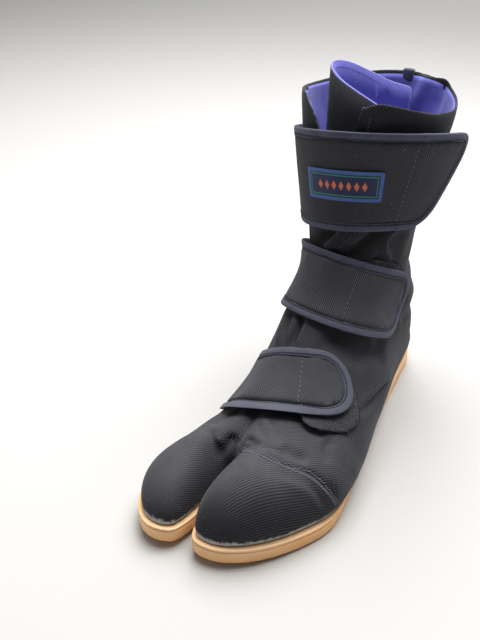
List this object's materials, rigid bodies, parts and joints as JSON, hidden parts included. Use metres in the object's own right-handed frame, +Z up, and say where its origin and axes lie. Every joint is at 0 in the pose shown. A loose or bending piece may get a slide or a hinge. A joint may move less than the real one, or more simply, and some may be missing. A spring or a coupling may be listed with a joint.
{
  "type": "jika tabi",
  "caption": "Left split-toe cotton work boot with a gum rubber sole, a curled gusset in the open collar, three wide bound fastener straps and a small plain woven patch.",
  "frame": {"origin": "On the floor under the middle of the heel, on the flat underside of the sole.", "axes": "-Y points to the toes, +X to the outer side of the foot, +Z up."},
  "size_m": [0.1128, 0.2801, 0.235],
  "materials": {
    "gum_rubber": "satin",
    "insole_cloth": "matt",
    "black_twill": "matt",
    "navy_binding": "matt",
    "loop_pile": "matt",
    "woven_label": "matt"
  },
  "bodies": {
    "root": {"outsole": "gum_rubber", "insole": "insole_cloth", "upper": "black_twill", "front_gusset": "black_twill", "strap_lower": "black_twill", "strap_middle": "black_twill", "strap_top": "black_twill", "binding_lower": "navy_binding", "binding_middle": "navy_binding", "binding_top": "navy_binding", "loop_patch_lower": "loop_pile", "loop_patch_middle": "loop_pile", "label_patch": "woven_label"}
  },
  "joints": []
}
